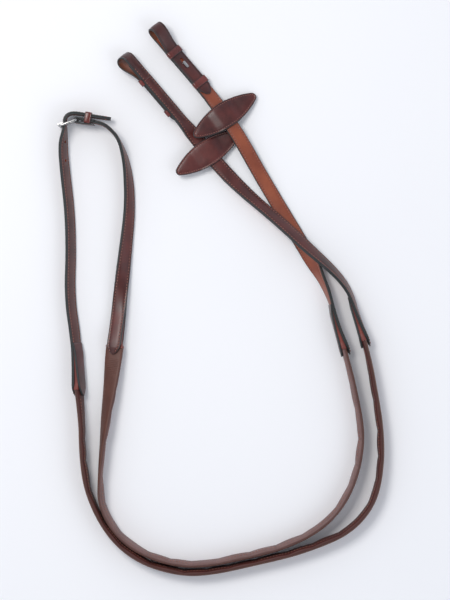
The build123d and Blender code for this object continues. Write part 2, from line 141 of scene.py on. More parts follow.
buckle_rein = Rein(
    "buckle_rein", 1.4374, 0.440, 1.137, 0.133,
    points=[
        (-0.0813, 0.3148, 0.0080), (-0.04674, 0.27456, 0.0082), (-0.0122, 0.2343, 0.0084),
        (0.0180, 0.1914, 0.0120), (0.0476, 0.1386, 0.0034), (0.0905, 0.0679, 0.0024),
        (0.1119, 0.0307, 0.0078), (0.1253, 0.0017, 0.0088), (0.1326, -0.0284, 0.0099),
        (0.1427, -0.0626, 0.0116), (0.1560, -0.1154, 0.0109), (0.1631, -0.1653, 0.0109),
        (0.1529, -0.2175, 0.0109), (0.1235, -0.2598, 0.0109), (0.0800, -0.2857, 0.0109),
        (0.0255, -0.2989, 0.0109), (-0.0267, -0.3105, 0.0109), (-0.0731, -0.3033, 0.0109),
        (-0.1125, -0.2842, 0.0109), (-0.1389, -0.2465, 0.0109), (-0.1423, -0.2013, 0.0109),
        (-0.1365, -0.1502, 0.0109), (-0.1302, -0.1038, 0.0096), (-0.1238, -0.0516, 0.0083),
        (-0.1183, 0.0017, 0.0068), (-0.1122, 0.0563, 0.0069), (-0.1068, 0.1061, 0.0080),
        (-0.1093, 0.1514, 0.0088), (-0.1186, 0.1839, 0.0114), (-0.1317, 0.1989, 0.0122),
        (-0.1427, 0.2043, 0.0122), (-0.1682, 0.2085, 0.0122),
    ],
    leans=[
        (0.0, 202), (0.106, 202), (0.114, 190), (0.162, 190), (0.215, 184), (0.303, 180),
        (0.322, 170), (0.350, 118), (0.385, 97), (0.415, 91), (0.435, 91), (0.480, 97),
        (0.870, 97), (0.915, 101), (0.962, 101), (0.986, 90), (1.021, 80), (1.046, 66),
        (1.081, 50), (1.100, 39), (1.128, 18), (1.138, 15), (1.152, 20), (1.171, 20), (1.193, 6),
        (1.215, -14), (1.237, -28), (1.268, -42), (1.305, -52), (1.330, -58), (1.368, -80),
        (1.380, -90), (2.0, -90),
    ],
)
point_rein = Rein(
    "point_rein", 1.5181, 0.441, 1.147, 0.150,
    points=[
        (-0.1125, 0.2842, 0.0167), (-0.07799, 0.24356, 0.01284), (-0.0435, 0.2029, 0.0090),
        (-0.0017, 0.1514, 0.0062), (0.0307, 0.1195, 0.0080), (0.0667, 0.0893, 0.0126),
        (0.1015, 0.0568, 0.0154), (0.1334, 0.0287, 0.0114), (0.1496, 0.0064, 0.0086),
        (0.1572, -0.0226, 0.0099), (0.1674, -0.0574, 0.0118), (0.1769, -0.1038, 0.0109),
        (0.1842, -0.1549, 0.0109), (0.1850, -0.1966, 0.0109), (0.1757, -0.2372, 0.0109),
        (0.1467, -0.2714, 0.0109), (0.1009, -0.2900, 0.0109), (0.0441, -0.3051, 0.0109),
        (-0.0070, -0.3161, 0.0109), (-0.0487, -0.3188, 0.0109), (-0.0951, -0.3051, 0.0109),
        (-0.1317, -0.2738, 0.0109), (-0.1554, -0.2285, 0.0109), (-0.1622, -0.1792, 0.0109),
        (-0.1633, -0.1293, 0.0110), (-0.1673, -0.0853, 0.0116), (-0.1699, -0.0458, 0.0092),
        (-0.1771, 0.0017, 0.0078), (-0.1753, 0.0563, 0.0078), (-0.1769, 0.1027, 0.0079),
        (-0.1821, 0.1467, 0.0094), (-0.1847, 0.1769, 0.0116), (-0.1819, 0.1989, 0.0122),
        (-0.1824, 0.2100, 0.0122), (-0.1752, 0.2152, 0.0122), (-0.1636, 0.2141, 0.0122),
        (-0.1462, 0.2105, 0.0122), (-0.1288, 0.2082, 0.0122),
    ],
    leans=[
        (0.0, 46), (0.105, 46), (0.128, 5), (0.172, 5), (0.200, 28), (0.235, 44), (0.300, 42),
        (0.345, 58), (0.385, 74), (0.415, 84), (0.440, 89), (0.480, 97), (1.100, 98),
        (1.150, 112), (1.210, 126), (1.405, 122), (1.434, 118), (1.450, 96), (1.456, 90), (2.0, 90),
    ],
)
reins = (buckle_rein, point_rein)


# The bit straps. Each is two plies of bridle leather, glued flesh to flesh and saddle stitched
# along both edges: dyed grain leather outside and a lighter lining. The cut edges are inked.

strap_width = 0.016
outer_ply = 0.00185
lining_ply = 0.0017
glue = 0.0001
stitch_inset = 0.0023
grip_thickness = 0.0056
tab_length = 0.062
point_length = 0.008
point_rim = 0.0003
tip_round = 0.002
skive_reach = 0.014
lining_starts = 0.0144
lining_short = 0.002
lining_tuck = 0.0015
lining_rim = 0.0001
strap_split = 0.039


class Shade:
    """A shader socket that takes arithmetic. Each operator adds the Math node that does it."""

    def __init__(self, bench, socket):
        self.bench = bench
        self.socket = socket

    def maths(self, operation, first, second):
        node = self.bench.node("ShaderNodeMath", {"operation": operation}, {0: first, 1: second})
        return Shade(self.bench, node.outputs[0])

    def __add__(self, other):
        return self.maths("ADD", self, other)

    def __sub__(self, other):
        return self.maths("SUBTRACT", self, other)

    def __rsub__(self, other):
        return self.maths("SUBTRACT", other, self)

    def __mul__(self, other):
        return self.maths("MULTIPLY", self, other)


class Bench:
    """The node tree of one material, where its finish is worked up."""

    def __init__(self, name):
        self.material = bpy.data.materials.new(name)
        self.material.use_nodes = True
        self.tree = self.material.node_tree
        self.tree.nodes.clear()
        self.output = self.tree.nodes.new("ShaderNodeOutputMaterial")

    def node(self, kind, settings, sockets):
        """Any node: its settings go in first, then the values or links of its sockets."""
        node = self.tree.nodes.new(kind)
        for name, value in settings.items():
            if name == "stops":
                self.set_stops(node.color_ramp, value)
            else:
                setattr(node, name, value)
        for name, value in sockets.items():
            socket = node.inputs[name]
            if isinstance(value, Shade):
                self.tree.links.new(value.socket, socket)
            else:
                socket.default_value = value
        return node

    def set_stops(self, ramp, stops):
        while len(ramp.elements) < len(stops):
            ramp.elements.new(0.5)
        for element, (at, colour) in zip(ramp.elements, stops):
            element.position = at
            element.color = colour

    def shade(self, kind, settings, sockets, output=0):
        return Shade(self, self.node(kind, settings, sockets).outputs[output])

    def mix(self, share, first, second):
        """First where share is 0, second where it is 1."""
        node = self.node("ShaderNodeMix", {"data_type": "RGBA"}, {0: share, 6: first, 7: second})
        return Shade(self, node.outputs[2])

    def noise(self, size, detail=3.0, stretch=(1.0, 1.0, 1.0)):
        """Cloudy noise in the piece's own space, with lumps about size across."""
        place = self.shade("ShaderNodeTexCoord", {}, {}, "Object")
        mapped = self.shade("ShaderNodeMapping", {}, {0: place, "Scale": stretch})
        return self.shade(
            "ShaderNodeTexNoise", {}, {"Vector": mapped, "Scale": 1.0 / size, "Detail": detail}
        )

    def pebbles(self, size):
        """Distance to the nearest pore, for the grain of the hide."""
        place = self.shade("ShaderNodeTexCoord", {}, {}, "Object")
        return self.shade("ShaderNodeTexVoronoi", {}, {"Vector": place, "Scale": 1.0 / size})

    def painted(self, name):
        """A mask that the mesh carries on its points."""
        return self.shade("ShaderNodeAttribute", {"attribute_name": name}, {}, "Fac")

    def finish(self, sockets):
        shader = self.node("ShaderNodeBsdfPrincipled", {}, sockets)
        self.tree.links.new(shader.outputs[0], self.output.inputs[0])
        return self.material


def dye(red, green, blue):
    """A colour from its 0 to 255 display values."""
    return tuple((value / 255.0) ** 2.2 for value in (red, green, blue)) + (1.0,)


ink = dye(37, 41, 41)


def leather(name, face, deep, shine, flesh=None, grain=0.00006, pore=0.0011, coat=0.2):
    """Dyed hide: cloudy colour, pores, painted seam shade, inked edges and a raw flesh side."""
    bench = Bench(name)
    clouds = bench.noise(0.026)
    mottle = bench.noise(0.0032, 5.0)
    pores = bench.pebbles(pore)
    colour = bench.mix(clouds * 2.2 + mottle * 0.5 - 0.85, deep, face)
    colour = bench.mix((1.0 - pores * 2.2) * 0.16, colour, deep)
    # Painted shade: the seam mask darkens the stitch groove and the band outside it.
    colour = bench.mix(bench.painted("seam") * 0.9, colour, deep)
    if flesh:
        colour = bench.mix(bench.painted("flesh"), colour, flesh)
    edge = bench.painted("ink")
    colour = bench.mix(edge * (mottle * 0.3 + 0.85), colour, ink)
    rough = mottle * 0.16 + clouds * 0.14 + (shine - 0.13) + edge * 0.08
    creases = bench.noise(0.0075, 4.0)
    height = pores * 0.5 + mottle * 0.35 + creases * 0.9
    bump = bench.shade(
        "ShaderNodeBump", {}, {"Height": height, "Distance": grain, "Strength": 0.8}, "Normal"
    )
    return bench.finish(
        {"Base Color": colour, "Roughness": rough, "Normal": bump, "Coat Weight": coat,
         "Coat Roughness": 0.3, "Specular IOR Level": 0.5}
    )


strap_leather = leather("bridle_leather", dye(92, 37, 31), dye(50, 18, 17), 0.38)
lining_leather = leather("lining_leather", dye(150, 78, 50), dye(118, 56, 36), 0.44, grain=0.00004)


def beyond_grip(rein, d):
    """How far outside the grip a spot lies. It is negative on the grip."""
    return max(rein.grip_starts - d, d - rein.grip_ends)


def junction_share(rein, d):
    """0 where the backing tab starts, 1 at the grip's end, easing in."""
    share = 1.0 - beyond_grip(rein, d) / (tab_length - point_length)
    return min(1.0, max(0.0, share)) ** 1.6


def strap_lift(rein, d):
    """How far a strap's middle stands off the rein's line to pass over the grip's end."""
    return (grip_thickness / 2 + lining_ply + glue) * junction_share(rein, d)


def rounded_point(from_tip):
    """Half the width of a strap near its point: a V with a rounded tip."""
    inside = max(0.0, from_tip)
    nose = sqrt(min(inside, tip_round) / tip_round)
    return min(strap_width / 2, 0.56 * inside + 0.0026 * nose)


def strap_half(rein, d):
    """Half the width of a strap, which ends in a point on the grip."""
    return rounded_point(beyond_grip(rein, d) + point_length) + point_rim


def ply_section(half, thickness, crown=0.00032, groove=0.00022):
    """Outline of one ply: domed, and grooved for the stitches.

    Each row is across, out, and the shares of ink, bare flesh and painted seam shade.
    """
    squeeze = half / (strap_width / 2)
    side = [
        (half * 0.985, 0.02 * thickness, 1.0, 0.0),
        (half + 0.00003, 0.3 * thickness, 1.0, 0.0),
        (half + 0.00003, 0.66 * thickness, 1.0, 0.0),
        (half - 0.0002 * squeeze, 0.88 * thickness, 1.0, 0.0),
        (half - 0.0005 * squeeze, 0.98 * thickness, 0.75, 0.0),
        (half - 0.0008 * squeeze, thickness, 0.1, 0.3),
        (half - 0.0014 * squeeze, thickness, 0.0, 0.35),
        (half - (stitch_inset - 0.0005) * squeeze, thickness - 0.3 * groove * squeeze, 0.0, 0.8),
        (half - stitch_inset * squeeze, thickness - groove * squeeze, 0.0, 1.0),
        (half - (stitch_inset + 0.0005) * squeeze, thickness - 0.2 * groove * squeeze, 0.0, 0.6),
        (half - (stitch_inset + 0.0011) * squeeze, thickness + 0.45 * crown, 0.0, 0.0),
        (half * 0.28, thickness + 0.92 * crown, 0.0, 0.0),
    ]
    top = [(-x, out, inked, 0.0, sewn) for x, out, inked, sewn in side]
    top += [(0.0, thickness + crown, 0.0, 0.0, 0.0)]
    top += [(x, out, inked, 0.0, sewn) for x, out, inked, sewn in reversed(side)]
    return top + [
        (half * 0.97, 0.0, 0.7, 1.0, 0.0), (0.0, 0.0, 0.0, 1.0, 0.0),
        (-half * 0.97, 0.0, 0.7, 1.0, 0.0),
    ]


def skin(name, rings, masks, material):
    """Closed skin through a row of rings of points, all wound alike, with masks on its points."""
    count, around = len(rings), len(rings[0])
    points = np.concatenate(rings)
    faces = []
    for row in range(count - 1):
        for spot in range(around):
            following = (spot + 1) % around
            faces.append((
                row * around + spot, (row + 1) * around + spot,
                (row + 1) * around + following, row * around + following,
            ))
    faces.append(tuple(range(around)))
    faces.append(tuple(reversed(range((count - 1) * around, count * around))))
    mesh = bpy.data.meshes.new(name)
    mesh.from_pydata(points.tolist(), [], faces)
    mesh.polygons.foreach_set("use_smooth", [True] * len(mesh.polygons))
    for mask, values in masks.items():
        layer = mesh.attributes.new(mask, "FLOAT", "POINT")
        layer.data.foreach_set("value", np.asarray(values, dtype=np.float32))
    mesh.materials.append(material)
    return in_scene(name, mesh)


def spaced(start, end, step=0.0022, fine_at=()):
    """Distances from start to end, with close ones where a point tapers."""
    spots = set(np.linspace(start, end, max(2, round((end - start) / step))))
    for tip in fine_at:
        for beyond in (0.0001, 0.0003, 0.0006, 0.001, 0.0015, 0.002, 0.003, 0.0045, 0.006, 0.008):
            spots.add(tip - beyond)
            spots.add(tip + beyond)
    inside = sorted(spot for spot in spots if start <= spot <= end)
    kept = [inside[0]]
    for spot in inside[1:]:
        if spot - kept[-1] > 0.00008:
            kept.append(spot)
    return kept


def ply_skin(name, stations, material):
    """Skin of one ply. A station is an origin, the ways across and out, half width, thickness."""
    rings, inks, fleshes, seams = [], [], [], []
    for origin, across, outward, half, thickness in stations:
        ring = []
        for x, out, inked, raw, sewn in ply_section(half, thickness):
            ring.append(origin + across * x + outward * out)
            inks.append(inked)
            fleshes.append(raw)
            seams.append(sewn)
        rings.append(ring)
    return skin(name, rings, {"ink": inks, "flesh": fleshes, "seam": seams}, material)


def lay_ply(name, rein, spots, halves, ply, least, outward, material):
    """Lay one ply along a rein. Least is the share of its thickness left at its pared point."""
    stations = []
    for d, half in zip(spots, halves):
        middle, travel, across, grain = rein.place(d)
        pared = min(1.0, (beyond_grip(rein, d) + point_length) / skive_reach)
        thickness = ply * (least + (1 - least) * pared)
        base = middle + grain * (strap_lift(rein, d) + outward * glue / 2)
        stations.append((base, outward * across, outward * grain, half, thickness))
    return ply_skin(name, stations, material)


bit_straps = {}
bit_linings = {}
for rein in reins:
    tip = rein.grip_starts + point_length
    spots = spaced(strap_split, tip, fine_at=(tip,))
    bit_straps[rein] = lay_ply(
        rein.name + "_bit_strap_leather", rein, spots, [strap_half(rein, d) for d in spots],
        outer_ply, 0.5, 1, strap_leather,
    )
    spots = spaced(lining_starts, tip - lining_short, fine_at=(tip - lining_short,))
    halves = [rounded_point(tip - lining_tuck - d) + lining_rim for d in spots]
    bit_linings[rein] = lay_ply(
        rein.name + "_bit_lining_leather", rein, spots, halves, lining_ply, 0.4, -1, lining_leather
    )


# The saddle stitching: waxed brown thread, seven or eight stitches to the inch, in the crease along
# both edges of the straps. Every stitch shows as a short raised grain of thread on both faces.

stitch_pitch = 0.0034
stitch_length = 0.0023
thread_width = 0.0009
thread_sunk = 0.0001
row_step = 0.003
first_grain_stitch = 0.0225
first_lining_stitch = 0.108
last_to_tip = 0.004
bit_tab_hides = 0.050


def thread_material():
    bench = Bench("waxed_thread")
    twist = bench.noise(0.0006, 2.0)
    colour = bench.mix(twist, dye(128, 74, 62), dye(176, 122, 106))
    return bench.finish({"Base Color": colour, "Roughness": twist * 0.2 + 0.45})


def stitch_tree():
    """Geometry Nodes tree that sets a stitch every pitch along rows of edges."""
    tree = bpy.data.node_groups.new("saddle_stitch", "GeometryNodeTree")
    sockets = {}
    for label, kind in (
        ("Rows", "NodeSocketGeometry"), ("Pitch", "NodeSocketFloat"),
        ("Stitch length", "NodeSocketFloat"), ("Thread width", "NodeSocketFloat"),
        ("Thread", "NodeSocketMaterial"),
    ):
        item = tree.interface.new_socket(label, in_out="INPUT", socket_type=kind)
        sockets[label] = item.identifier
    tree.interface.new_socket("Stitches", in_out="OUTPUT", socket_type="NodeSocketGeometry")

    def add(kind, links=(), **settings):
        node = tree.nodes.new(kind)
        for name, value in settings.items():
            setattr(node, name, value)
        for socket, source in dict(links).items():
            if hasattr(source, "is_output"):
                tree.links.new(source, node.inputs[socket])
            else:
                node.inputs[socket].default_value = source
        return node

    given = add("NodeGroupInput").outputs
    rows = add("GeometryNodeMeshToCurve", {"Mesh": given["Rows"]})
    holes = add(
        "GeometryNodeResampleCurve", {"Curve": rows.outputs[0], "Length": given["Pitch"]},
        mode="LENGTH",
    )
    tangent = add("GeometryNodeInputTangent")
    outward = add("GeometryNodeInputNamedAttribute", {"Name": "outward"}, data_type="FLOAT_VECTOR")
    lengthwise = add(
        "FunctionNodeAlignRotationToVector", {"Vector": tangent.outputs[0]}, axis="X"
    )
    upright = add(
        "FunctionNodeAlignRotationToVector",
        {"Rotation": lengthwise.outputs[0], "Vector": outward.outputs[0]},
        axis="Z", pivot_axis="X",
    )
    bead = add("GeometryNodeMeshUVSphere", {"Segments": 6, "Rings": 4, "Radius": 0.5})
    size = add(
        "ShaderNodeCombineXYZ",
        {0: given["Stitch length"], 1: given["Thread width"], 2: given["Thread width"]},
    )
    sewn = add(
        "GeometryNodeInstanceOnPoints",
        {"Points": holes.outputs[0], "Instance": bead.outputs[0],
         "Rotation": upright.outputs[0], "Scale": size.outputs[0]},
    )
    real = add("GeometryNodeRealizeInstances", {0: sewn.outputs[0]})
    smooth = add("GeometryNodeSetShadeSmooth", {0: real.outputs[0]})
    thread = add(
        "GeometryNodeSetMaterial", {"Geometry": smooth.outputs[0], "Material": given["Thread"]}
    )
    add("NodeGroupOutput", {0: thread.outputs[0]})
    return tree, sockets


waxed_thread = thread_material()
saddle_stitch, stitch_sockets = stitch_tree()


def baked(piece):
    """The mesh of a piece with its modifiers applied."""
    finished = piece.evaluated_get(bpy.context.evaluated_depsgraph_get())
    return bpy.data.meshes.new_from_object(finished)


def sew(name, rows, pitch=stitch_pitch, length=stitch_length, width=thread_width):
    """Stitches along rows. Each row is a list of (point, outward direction)."""
    points, edges, outwards = [], [], []
    for row in rows:
        first = len(points)
        for place, out in row:
            points.append(tuple(place))
            outwards += [float(value) for value in out]
        edges += [(first + spot, first + spot + 1) for spot in range(len(row) - 1)]
    mesh = bpy.data.meshes.new(name + "_rows")
    mesh.from_pydata(points, edges, [])
    mesh.attributes.new("outward", "FLOAT_VECTOR", "POINT").data.foreach_set("vector", outwards)
    holder = in_scene(name + "_rows", mesh)
    modifier = holder.modifiers.new("stitches", "NODES")
    modifier.node_group = saddle_stitch
    modifier[stitch_sockets["Pitch"]] = pitch
    modifier[stitch_sockets["Stitch length"]] = length
    modifier[stitch_sockets["Thread width"]] = width
    modifier[stitch_sockets["Thread"]] = waxed_thread
    piece = in_scene(name, baked(holder))
    bpy.data.objects.remove(holder)
    bpy.data.meshes.remove(mesh)
    return piece


def crease_rows(rein, start, end, face):
    """Rows for the stitches in the creases of a strap: face 1 is its grain and -1 its lining."""
    ply = outer_ply if face > 0 else lining_ply
    rows = []
    for edge in (1, -1):
        row = []
        for d in np.linspace(start, end, max(2, round((end - start) / row_step))):
            middle, travel, across, grain = rein.place(d)
            half = strap_half(rein, d)
            squeeze = half / (strap_width / 2)
            inset = half - stitch_inset * squeeze
            out = strap_lift(rein, d) + face * (ply + glue / 2 - thread_sunk)
            row.append((middle + across * edge * inset + grain * out, grain * face))
        rows.append(row)
    return rows


for rein in reins:
    tip = rein.grip_starts + point_length
    rows = crease_rows(rein, first_grain_stitch, tip - last_to_tip, 1)
    rows += crease_rows(rein, first_lining_stitch, rein.grip_starts - bit_tab_hides, -1)
    stitches = sew(rein.name + "_bit_stitching", rows)
    strap, lining = bit_straps[rein], bit_linings[rein]
    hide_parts(rein.name + "_bit_strap")
    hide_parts(rein.name + "_bit_lining")
    for piece, slot in (
        (strap, "strap_leather"), (lining, "lining_leather"), (stitches, "strap_leather")
    ):
        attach(piece, "reins")
    rein.place(strap_split)[0]
    rein.trace(strap_split, tip)


# The billets. The outer ply runs on past the lining, turns back round the space for the bit ring
# and lies behind the strap, with a long slot for the hook stud and a trimmed point.

loop_radius = 0.008
loop_bends = (0.0165, 0.026)
billet_flat = 0.040
billet_tip = 0.102
billet_rim = 0.0002
stud_at = 0.061
slot_length = 0.014
slot_width = 0.0038
billet_top = lining_ply + glue / 2 + glue
billet_middle = billet_top + outer_ply / 2
bit_heading_at = 0.02
cut_weld = 1e-5

billet_leather = leather(
    "billet_leather", dye(86, 36, 31), dye(48, 19, 18), 0.38, flesh=dye(138, 76, 48)
)
raw_leather = leather("cut_leather", dye(150, 76, 44), dye(120, 58, 34), 0.62, coat=0.0)


def billet_line():
    """Middle line of the turned ply: along the strap and out of the grain face, with directions."""
    top = glue / 2 + outer_ply / 2
    turn = loop_radius - outer_ply / 2
    line = [(x, top) for x in np.linspace(strap_split, loop_radius + 0.002, 14)]
    for angle in np.linspace(0.0, pi, 25):
        line.append((loop_radius - turn * sin(angle), top - turn + turn * cos(angle)))
    first, last = (loop_radius, top - 2 * turn), (billet_flat, -billet_middle)
    for share in np.linspace(0.0, 1.0, 24)[1:]:
        rest = 1 - share
        ease = [rest ** 3, 3 * share * rest ** 2, 3 * share ** 2 * rest, share ** 3]
        x = sum(part * at for part, at in zip(ease, (first[0], *loop_bends, last[0])))
        out = (ease[0] + ease[1]) * first[1] + (ease[2] + ease[3]) * last[1]
        line.append((x, out))
    for x in spaced(billet_flat + 0.0015, billet_tip, 0.002, fine_at=(billet_tip,)):
        line.append((x, -billet_middle))
    return np.array(line)


def cut_slots(piece, cutters):
    """Cut holes through a piece. The walls take its second material."""
    for cutter in cutters:
        modifier = piece.modifiers.new("cut", "BOOLEAN")
        modifier.operation = "DIFFERENCE"
        modifier.solver = "EXACT"
        modifier.object = cutter
    mesh = baked(piece)
    piece.modifiers.clear()
    piece.data = mesh
    for cutter in cutters:
        bpy.data.objects.remove(cutter)


def slot_cutter(middle, long_way, short_way, through, length, width, depth):
    """An oval prism to cut a slot or a round hole with."""
    ends = (length - width) / 2
    outline = []
    for side in (1, -1):
        for turn in np.linspace(-pi / 2, pi / 2, 13) + (0.0 if side > 0 else pi):
            outline.append((side * ends + width / 2 * cos(turn), width / 2 * sin(turn)))
    kept = [outline[0]]
    for spot in outline[1:]:
        if hypot(spot[0] - kept[-1][0], spot[1] - kept[-1][1]) > cut_weld:
            kept.append(spot)
    if hypot(kept[0][0] - kept[-1][0], kept[0][1] - kept[-1][1]) < cut_weld:
        kept.pop()
    points = []
    for level in (-depth / 2, depth / 2):
        for x, y in kept:
            points.append(middle + long_way * x + short_way * y + through * level)
    count = len(kept)
    faces = [(i, (i + 1) % count, (i + 1) % count + count, i + count) for i in range(count)]
    faces += [tuple(reversed(range(count))), tuple(range(count, 2 * count))]
    if np.dot(np.cross(long_way, short_way), through) < 0:
        faces = [tuple(reversed(face)) for face in faces]
    mesh = bpy.data.meshes.new("cutter")
    mesh.from_pydata([tuple(point) for point in points], [], faces)
    mesh.materials.append(strap_leather)
    mesh.materials.append(raw_leather)
    mesh.polygons.foreach_set("material_index", [1] * len(faces))
    return in_scene("cutter", mesh)


line = billet_line()
for rein in reins:
    start = rein.place(0.0)[0]
    _, travel, across, grain = rein.place(bit_heading_at)
    stations = []
    for (x, out), (run, rise) in zip(line, np.gradient(line, axis=0)):
        stretch = hypot(run, rise)
        outside = grain * (-run / stretch) + travel * (rise / stretch)
        on_billet = out < -billet_middle / 2 and x > 0.03
        half = rounded_point(billet_tip - x) + billet_rim if on_billet else strap_width / 2
        inner = start + travel * x + grain * out - outside * outer_ply / 2
        stations.append((inner, -across, outside, half, outer_ply))
    billet = ply_skin(rein.name + "_billet", stations, billet_leather)
    billet.data.materials.append(raw_leather)
    slot_middle = stud_at - slot_length / 2 + slot_width / 2
    cut_slots(billet, [slot_cutter(
        start + travel * slot_middle - grain * billet_middle, travel, across, grain,
        slot_length, slot_width, 2.4 * outer_ply,
    )])
    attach(billet, "reins")


# The hook studs: a base disc between the plies, a post through lining and billet, and a flat hook
# that turns back over the billet. Plated steel, pressed and polished.

def plated_steel():
    bench = Bench("plated_steel")
    haze = bench.noise(0.004, 4.0)
    scratch = bench.noise(0.0016, 3.0, (1.0, 6.0, 1.0))
    colour = bench.mix(haze, dye(150, 149, 148), dye(196, 195, 194))
    bump = bench.shade("ShaderNodeBump", {}, {"Height": scratch, "Distance": 0.00001}, "Normal")
    return bench.finish(
        {"Base Color": colour, "Metallic": 1.0, "Roughness": haze * 0.16 + 0.16, "Normal": bump}
    )


steel = plated_steel()


def softened(node, name, bevel, body):
    """A steel piece with its corners rounded over, from a merged copy of its CAD shape."""
    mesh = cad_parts[node].data.copy()
    mesh.name = name
    piece = in_scene(name, mesh)
    weld = piece.modifiers.new("weld", "WELD")
    weld.merge_threshold = 0.00002
    flat = piece.modifiers.new("flat", "DECIMATE")
    flat.decimate_type = "DISSOLVE"
    flat.angle_limit = radians(1.0)
    round_over = piece.modifiers.new("round", "BEVEL")
    round_over.width = bevel
    round_over.segments = 3
    round_over.limit_method = "ANGLE"
    round_over.angle_limit = radians(35.0)
    smooth = baked(piece)
    piece.modifiers.clear()
    piece.data = smooth
    smooth.materials.clear()
    smooth.materials.append(steel)
    smooth.polygons.foreach_set("use_smooth", [True] * len(smooth.polygons))
    smooth.set_sharp_from_angle(angle=radians(40.0))
    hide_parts(node)
    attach(piece, body)


for rein in reins:
    softened(rein.name + "_hook_stud", rein.name + "_hook", 0.0003, "reins")


# The keepers: narrow bands of the same leather round the billet. Their thinned ends are tucked in
# between the strap's plies and sewn in, so that they don't cross the grain face. Inked edges.

loop_keeper_at = 0.039
tip_keeper_at = 0.085
keeper_width = 0.0085
keeper_ply = 0.0014
keeper_room = 0.00035
tucked_ply = 0.00056
tucked_reach = 0.005
middle_ply = outer_ply + glue / 2
billet_under = billet_top + outer_ply

keeper_leather = leather("keeper_leather", dye(116, 46, 38), dye(66, 24, 22), 0.28, coat=0.4)


def bend(x, out, radius, start, end, thin, thick, steps=6):
    """A quarter turn of a band: inner surface, outward direction and thickness at each step."""
    turned = []
    for share in np.linspace(0.0, 1.0, steps):
        angle = radians(start + (end - start) * share)
        turned.append((
            x + radius * cos(angle), out + radius * sin(angle), cos(angle), sin(angle),
            thin + (thick - thin) * share,
        ))
    return turned


def band(name, place, width, path, closed):
    """A strip of leather bent along a path across the strap, grooved along both of its edges."""
    middle, travel, across, grain = place
    profile = [
        (-0.46, 0.0, 0.3), (-0.5, 0.15, 1.0), (-0.5, 0.75, 1.0), (-0.475, 0.93, 0.9),
        (-0.44, 1.0, 0.25), (-0.37, 1.0, 0.0), (-0.33, 0.9, 0.0), (-0.29, 1.02, 0.0),
        (-0.1, 1.1, 0.0), (0.1, 1.1, 0.0), (0.29, 1.02, 0.0), (0.33, 0.9, 0.0), (0.37, 1.0, 0.0),
        (0.44, 1.0, 0.25), (0.475, 0.93, 0.9), (0.5, 0.75, 1.0), (0.5, 0.15, 1.0), (0.46, 0.0, 0.3),
    ]
    rings, inks = [], []
    for x, out, out_x, out_y, ply in path:
        ring = []
        for along, height, inked in profile:
            reach = ply * height
            spot = middle + across * (x + out_x * reach) + grain * (out + out_y * reach)
            ring.append(spot + travel * along * width)
            inks.append(inked)
        rings.append(ring)
    piece = skin(name, rings, {"ink": inks}, keeper_leather)
    work = bmesh.new()
    work.from_mesh(piece.data)
    work.faces.ensure_lookup_table()
    if closed:
        bmesh.ops.delete(work, geom=[work.faces[-1], work.faces[-2]], context="FACES_ONLY")
        bmesh.ops.remove_doubles(work, verts=work.verts, dist=1e-6)
    bmesh.ops.recalc_face_normals(work, faces=work.faces)
    work.to_mesh(piece.data)
    work.free()
    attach(piece, "reins")
    return piece


def tucked_path():
    """Round the billet, from one tucked end to the other."""
    inside = strap_width / 2 + keeper_room
    high = -glue / 2 - tucked_ply
    low = -billet_under - keeper_room
    tight, loose = 0.0004, 0.0009
    end = strap_width / 2 - tucked_reach
    path = [(end, high, 0.0, 1.0, tucked_ply * 0.6), (inside - 0.001, high, 0.0, 1.0, tucked_ply)]
    path += bend(inside - tight, high - tight, tight, 90, 0, tucked_ply, keeper_ply)
    path += bend(inside - loose, low + loose, loose, 0, -90, keeper_ply, keeper_ply)
    path += [(0.0, low - 0.0001, 0.0, -1.0, keeper_ply)]
    path += bend(loose - inside, low + loose, loose, -90, -180, keeper_ply, keeper_ply)
    path += bend(tight - inside, high - tight, tight, -180, -270, keeper_ply, tucked_ply)
    path += [(0.001 - inside, high, 0.0, 1.0, tucked_ply)]
    return path + [(-end, high, 0.0, 1.0, tucked_ply * 0.6)]


for rein in reins:
    for where, at in (("loop", loop_keeper_at), ("tip", tip_keeper_at)):
        piece = band(
            f"{rein.name}_keeper_by_{where}", rein.place(at), keeper_width, tucked_path(), False
        )
        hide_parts(f"{rein.name}_{where}_keeper")


# The rein stops. Two almond-shaped leaves of thick leather, one on each side of the strap, are sewn
# together all round, and leave a channel in the middle for the strap to slide in.

stop_length = 0.088
stop_width = 0.030
stop_ply = 0.0021
stop_tip = 0.0052
stop_room = 0.0003
stop_seam = 0.0022
stop_seam_depth = 0.00030
wave_of_leaf = 0.00022
bulge_starts = 0.0076
bulge_run = 0.011

stop_leather = leather(
    "stop_leather", dye(92, 37, 33), dye(52, 19, 19), 0.40, grain=0.00011, coat=0.15
)


def almond():
    """Outline of a stop: each point on it, with the spot of the middle line that it belongs to."""
    half = stop_width / 2
    reach = stop_length / 2 - stop_tip
    flank = (reach ** 2 + half ** 2 - stop_tip ** 2) / (2 * (half - stop_tip))
    drop = flank - half
    widest = np.arctan2(reach, drop)
    spots = []
    for side in (1, -1):
        for turn in np.linspace(-widest, widest, 56) * side:
            spots.append((
                (flank * sin(turn), side * (flank * cos(turn) - drop)), (drop * np.tan(turn), 0.0)
            ))
        for turn in np.linspace(pi / 2 - widest, widest - pi / 2, 12)[1:-1]:
            spots.append((
                (side * (reach + stop_tip * cos(turn)), side * stop_tip * sin(turn)),
                (side * reach, 0.0),
            ))
    return spots


def strap_bulge(x):
    """How far a leaf stands off the seam between the leaves, to pass over the strap."""
    share = min(1.0, max(0.0, (abs(x) - bulge_starts) / bulge_run))
    ease = share * share * (3 - 2 * share)
    return (middle_ply + stop_room) * (1 - ease)


